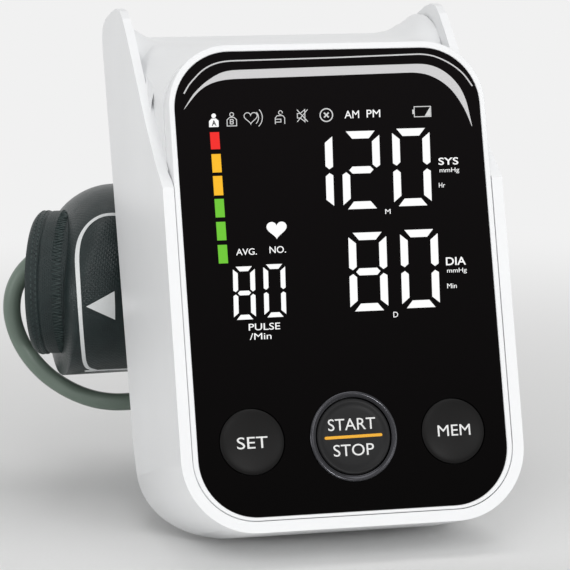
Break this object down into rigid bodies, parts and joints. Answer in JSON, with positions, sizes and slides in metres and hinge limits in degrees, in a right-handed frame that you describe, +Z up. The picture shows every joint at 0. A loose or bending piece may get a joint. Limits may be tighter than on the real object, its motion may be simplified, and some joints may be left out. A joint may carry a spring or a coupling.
{
  "type": "desk blood pressure monitor with arm cuff",
  "caption": "Leaning desk monitor with a glossy display panel and round buttons, a rear stand that carries a rolled arm cuff, and an air hose joining the two.",
  "frame": {"origin": "centre of the front foot's underside, on the table", "axes": "+Z up, +X to the right of someone who reads the display, the display faces -Y"},
  "size_m": [0.1569, 0.1624, 0.1649],
  "materials": {
    "shell_white": "moulded ABS, fine satin",
    "lens_black": "polished acrylic, printed black behind",
    "ring_chrome": "metallised, bright",
    "reflector_white": "moulded",
    "diffuser_white": "translucent, lit from behind",
    "board_green": "fibreglass board with solder mask",
    "switch_black": "moulded",
    "button_charcoal": "fine texture, printed white",
    "steel": "plated",
    "pump_ivory": "moulded",
    "valve_grey": "moulded",
    "tube_clear": "extruded silicone",
    "socket_grey": "moulded",
    "socket_black": "moulded",
    "cell_wrap": "shrink sleeve on a metal can",
    "foot_rubber": "moulded",
    "plug_grey": "moulded",
    "hose_rubber": "extruded, satin",
    "cuff_nylon": "woven nylon, printed white",
    "bladder_rubber": "moulded"
  },
  "bodies": {
    "root": {"rear_housing": "shell_white", "front_frame": "shell_white", "front_lens": "lens_black", "start_ring": "ring_chrome", "display_block": "reflector_white", "segment_diffusers": "diffuser_white", "main_board": "board_green", "button_switches": "switch_black", "pump_motor": "steel", "pump_head": "pump_ivory", "release_valve": "valve_grey", "pressure_sensor": "switch_black", "speaker": "switch_black", "inner_air_tube": "tube_clear", "stand_shell": "shell_white", "stand_base": "shell_white", "air_socket": "socket_grey", "power_socket": "socket_black", "battery_cells": "cell_wrap", "battery_contacts": "steel", "front_foot": "foot_rubber", "rear_feet": "foot_rubber", "housing_screws": "steel"},
    "set_button": {"set_button": "button_charcoal"},
    "start_stop_button": {"start_stop_button": "button_charcoal"},
    "mem_button": {"mem_button": "button_charcoal"},
    "battery_door": {"battery_door": "shell_white"},
    "cuff_set": {"hose_plug": "plug_grey", "air_hose": "hose_rubber", "cuff_cover": "cuff_nylon", "cuff_bladder": "bladder_rubber", "cuff_port": "plug_grey"}
  },
  "joints": [
    {"name": "set_press", "type": "slide", "parent": "root", "child": "set_button", "axis": [0, 0.9641, -0.2656], "range_m": [0, 0.0008], "stiffness_N_per_m": 1000},
    {"name": "start_stop_press", "type": "slide", "parent": "root", "child": "start_stop_button", "axis": [0, 0.9641, -0.2656], "range_m": [0, 0.0008], "stiffness_N_per_m": 1000},
    {"name": "mem_press", "type": "slide", "parent": "root", "child": "mem_button", "axis": [0, 0.9641, -0.2656], "range_m": [0, 0.0008], "stiffness_N_per_m": 1000},
    {"name": "battery_door_pull", "type": "slide", "parent": "root", "child": "battery_door", "axis": [0, 1, 0], "range_m": [0, 0.03]},
    {"name": "cuff_pull", "type": "slide", "parent": "root", "child": "cuff_set", "axis": [-1, 0, 0], "range_m": [0, 0.16]}
  ]
}
